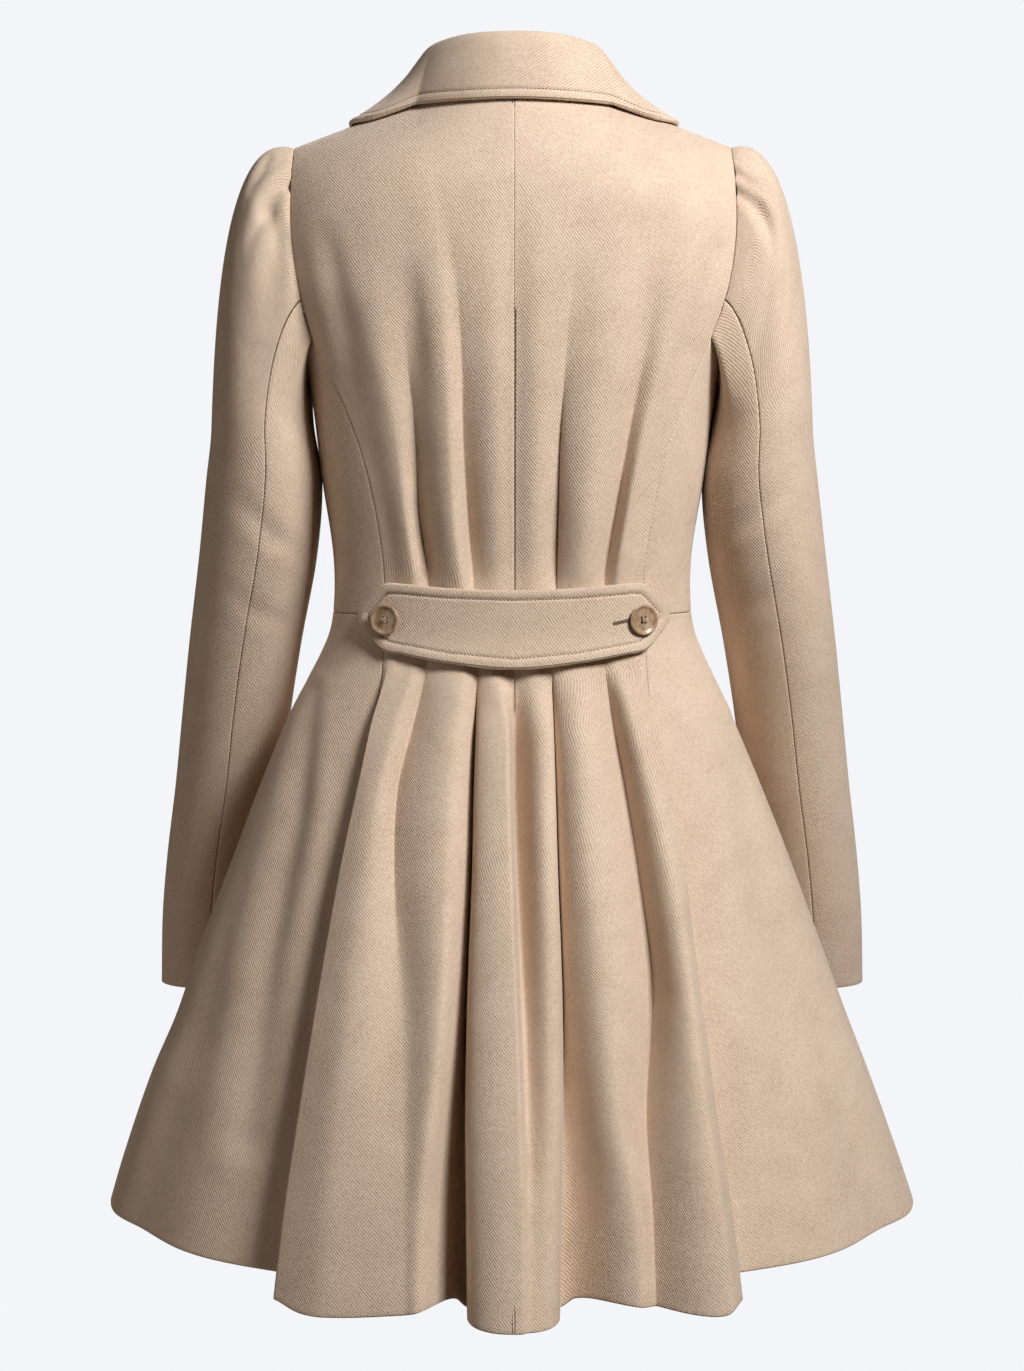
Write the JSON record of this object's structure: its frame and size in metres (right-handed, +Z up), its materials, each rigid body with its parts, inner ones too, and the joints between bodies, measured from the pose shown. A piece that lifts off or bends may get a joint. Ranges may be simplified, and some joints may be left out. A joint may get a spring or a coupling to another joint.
{
  "type": "double-breasted coat",
  "caption": "Short flared wool coat, filled out with no wearer: folded collar, wide lapels, full sleeve heads, princess seams and a back half belt over deep pleats.",
  "frame": {"origin": "middle of the neck base, level with the nape's seam, where the wearer's shoulders hold the coat", "axes": "+Z up the body, +Y out of the coat's back, +X towards the coat's own left side"},
  "size_m": [0.6446, 0.5001, 0.9683],
  "materials": {
    "wool_cloth": "brushed wool coating",
    "horn_button": "polished horn",
    "button_thread": "twisted thread"
  },
  "bodies": {
    "root": {"back_left": "wool_cloth", "side_back_bodice_left": "wool_cloth", "side_back_skirt_left": "wool_cloth", "front_bodice_left": "wool_cloth", "front_skirt_left": "wool_cloth", "lapel_left": "wool_cloth", "top_sleeve_left": "wool_cloth", "under_sleeve_left": "wool_cloth", "back_right": "wool_cloth", "side_back_bodice_right": "wool_cloth", "side_back_skirt_right": "wool_cloth", "front_bodice_right": "wool_cloth", "front_skirt_right": "wool_cloth", "lapel_right": "wool_cloth", "top_sleeve_right": "wool_cloth", "under_sleeve_right": "wool_cloth", "collar": "wool_cloth", "half_belt": "wool_cloth", "belt_button_left": "horn_button", "belt_button_right": "horn_button", "front_button_left_1": "horn_button", "front_button_left_2": "horn_button", "front_button_left_3": "horn_button", "front_button_right_1": "horn_button", "front_button_right_2": "horn_button", "front_button_right_3": "horn_button"}
  },
  "joints": []
}
